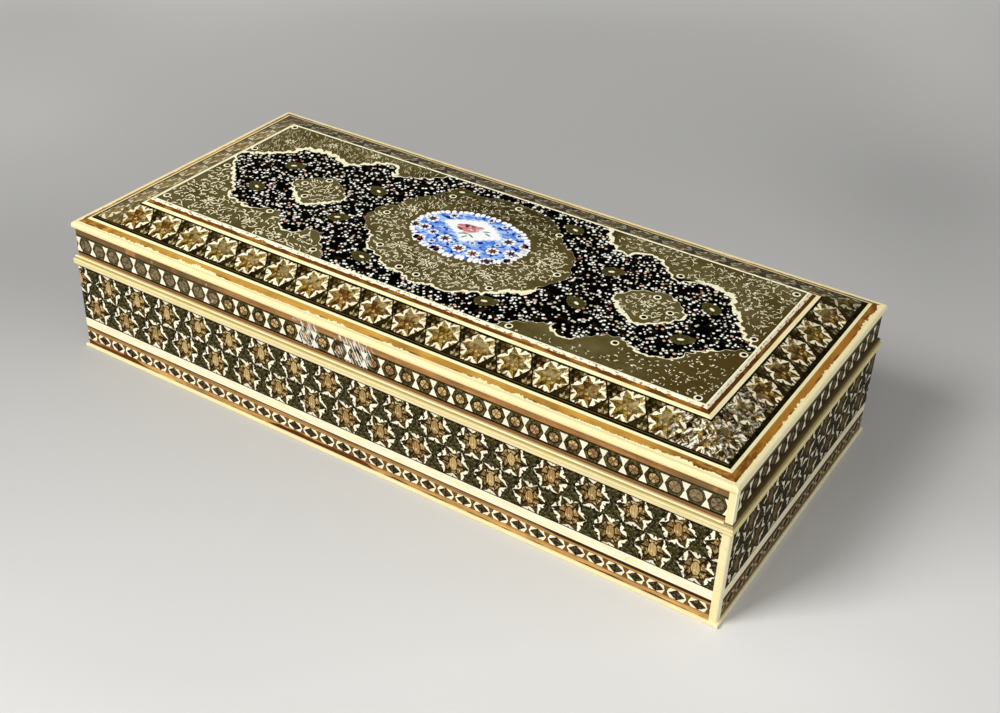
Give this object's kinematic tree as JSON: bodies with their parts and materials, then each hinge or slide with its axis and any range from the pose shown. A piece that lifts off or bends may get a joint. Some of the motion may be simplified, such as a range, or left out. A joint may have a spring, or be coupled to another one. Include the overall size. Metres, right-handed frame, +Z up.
{
  "type": "jewelry box",
  "caption": "Long, low wooden jewelry box with a hipped, hinged lid, star marquetry on every side, cream mitred edging and an arabesque painted panel, lined with red velvet.",
  "frame": {"origin": "centre of the underside, where the box rests on its surface", "axes": "+X along the length, from left to right seen from the front; +Y from the front side to the hinged back side; +Z up"},
  "size_m": [0.222, 0.1035, 0.0512],
  "materials": {
    "carcass_wood": "satin",
    "khatam_marquetry": "gloss",
    "cream_strip": "satin",
    "frame_wood": "satin",
    "painted_varnish": "gloss",
    "velvet": "matte",
    "brass": "satin"
  },
  "bodies": {
    "base": {"base_border_back": "khatam_marquetry", "base_border_front": "khatam_marquetry", "base_border_left": "khatam_marquetry", "base_border_right": "khatam_marquetry", "base_field_back": "khatam_marquetry", "base_field_front": "khatam_marquetry", "base_field_left": "khatam_marquetry", "base_field_right": "khatam_marquetry", "base_floor": "carcass_wood", "base_lining_band": "velvet", "base_lining_floor": "velvet", "base_rim_back": "cream_strip", "base_rim_front": "cream_strip", "base_rim_left": "cream_strip", "base_rim_right": "cream_strip", "base_wall_back": "carcass_wood", "base_wall_front": "carcass_wood", "base_wall_left": "carcass_wood", "base_wall_right": "carcass_wood", "corner_strip_back_left": "cream_strip", "corner_strip_back_right": "cream_strip", "corner_strip_front_left": "cream_strip", "corner_strip_front_right": "cream_strip", "foot_strip_back": "cream_strip", "foot_strip_front": "cream_strip", "foot_strip_left": "cream_strip", "foot_strip_right": "cream_strip", "hinge_base_leaf_left": "brass", "hinge_base_leaf_right": "brass", "hinge_pin_left": "brass", "hinge_pin_right": "brass"},
    "lid": {"hinge_lid_leaf_left": "brass", "hinge_lid_leaf_right": "brass", "lid_band_back": "khatam_marquetry", "lid_band_front": "khatam_marquetry", "lid_band_left": "khatam_marquetry", "lid_band_right": "khatam_marquetry", "lid_board": "carcass_wood", "lid_border_back": "khatam_marquetry", "lid_border_front": "khatam_marquetry", "lid_border_left": "khatam_marquetry", "lid_border_right": "khatam_marquetry", "lid_lining": "velvet", "lid_moulding_back": "cream_strip", "lid_moulding_front": "cream_strip", "lid_moulding_left": "cream_strip", "lid_moulding_right": "cream_strip", "lid_rim_back": "cream_strip", "lid_rim_front": "cream_strip", "lid_rim_left": "cream_strip", "lid_rim_right": "cream_strip", "lid_wall_back": "carcass_wood", "lid_wall_front": "carcass_wood", "lid_wall_left": "carcass_wood", "lid_wall_right": "carcass_wood", "painted_panel": "painted_varnish", "panel_frame_back": "frame_wood", "panel_frame_front": "frame_wood", "panel_frame_left": "frame_wood", "panel_frame_right": "frame_wood"}
  },
  "joints": [
    {"name": "lid_hinge", "type": "hinge", "parent": "base", "child": "lid", "pos_m": [0, 0.0506, 0.0327], "axis": [-1, 0, 0], "range_deg": [0, 100]}
  ]
}
